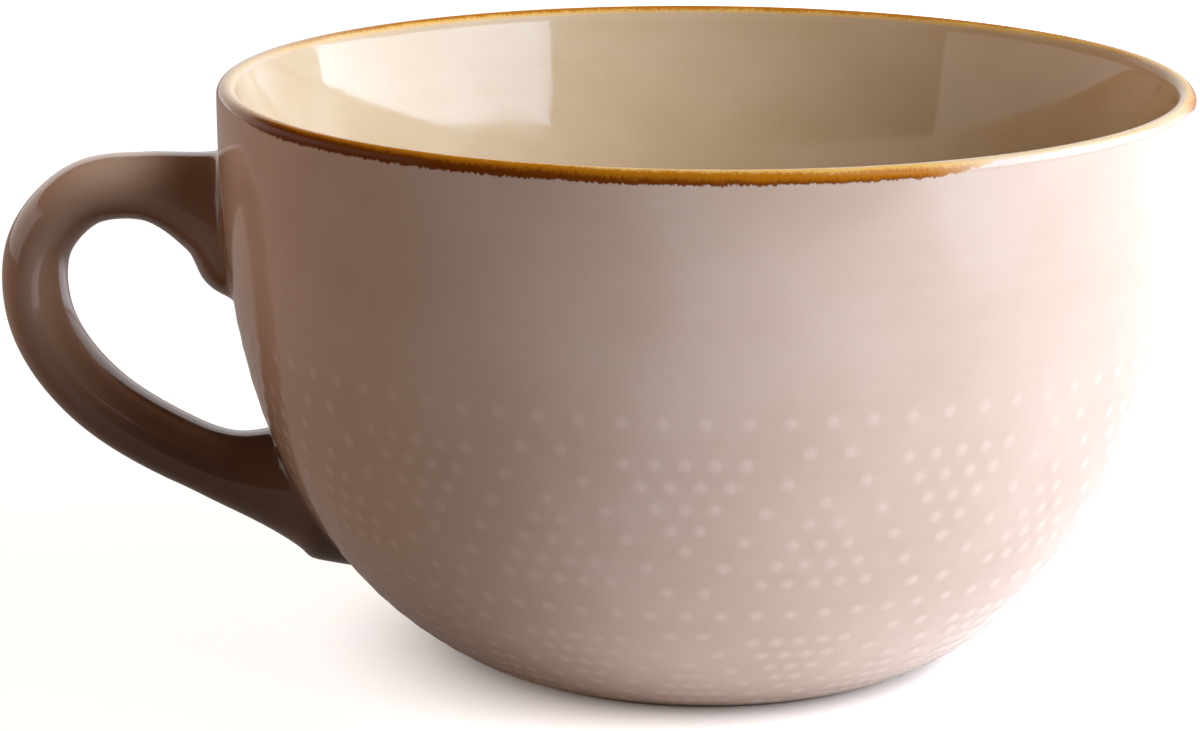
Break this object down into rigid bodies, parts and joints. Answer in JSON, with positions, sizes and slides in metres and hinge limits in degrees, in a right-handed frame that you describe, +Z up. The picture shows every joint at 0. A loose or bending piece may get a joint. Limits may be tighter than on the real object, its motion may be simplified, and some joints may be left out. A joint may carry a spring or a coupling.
{
  "type": "soup mug",
  "caption": "Wide round stoneware soup mug with an ear shaped side handle, glossy beige glaze, cream liner, dotted relief on the belly and an iron brown rim band.",
  "frame": {"origin": "on the table, under the middle of the mug's outline with its handle", "axes": "+Z up along the bowl's axis direction; the handle points to -X; +Y is across the handle"},
  "size_m": [0.1602, 0.13, 0.0777],
  "materials": {
    "bare_clay": "matt bare stoneware",
    "slip": "matt fired slip",
    "beige_glaze": "glossy beige glaze",
    "taupe_glaze": "glossy taupe glaze",
    "cream_glaze": "glossy cream glaze",
    "iron_glaze": "glossy iron brown band, amber where thin"
  },
  "bodies": {
    "root": {"bowl": "bare_clay", "handle": "bare_clay", "upper_joint": "slip", "lower_joint": "slip", "outer_glaze": "beige_glaze", "liner_glaze": "cream_glaze", "handle_glaze": "taupe_glaze", "rim_band": "iron_glaze"}
  },
  "joints": []
}
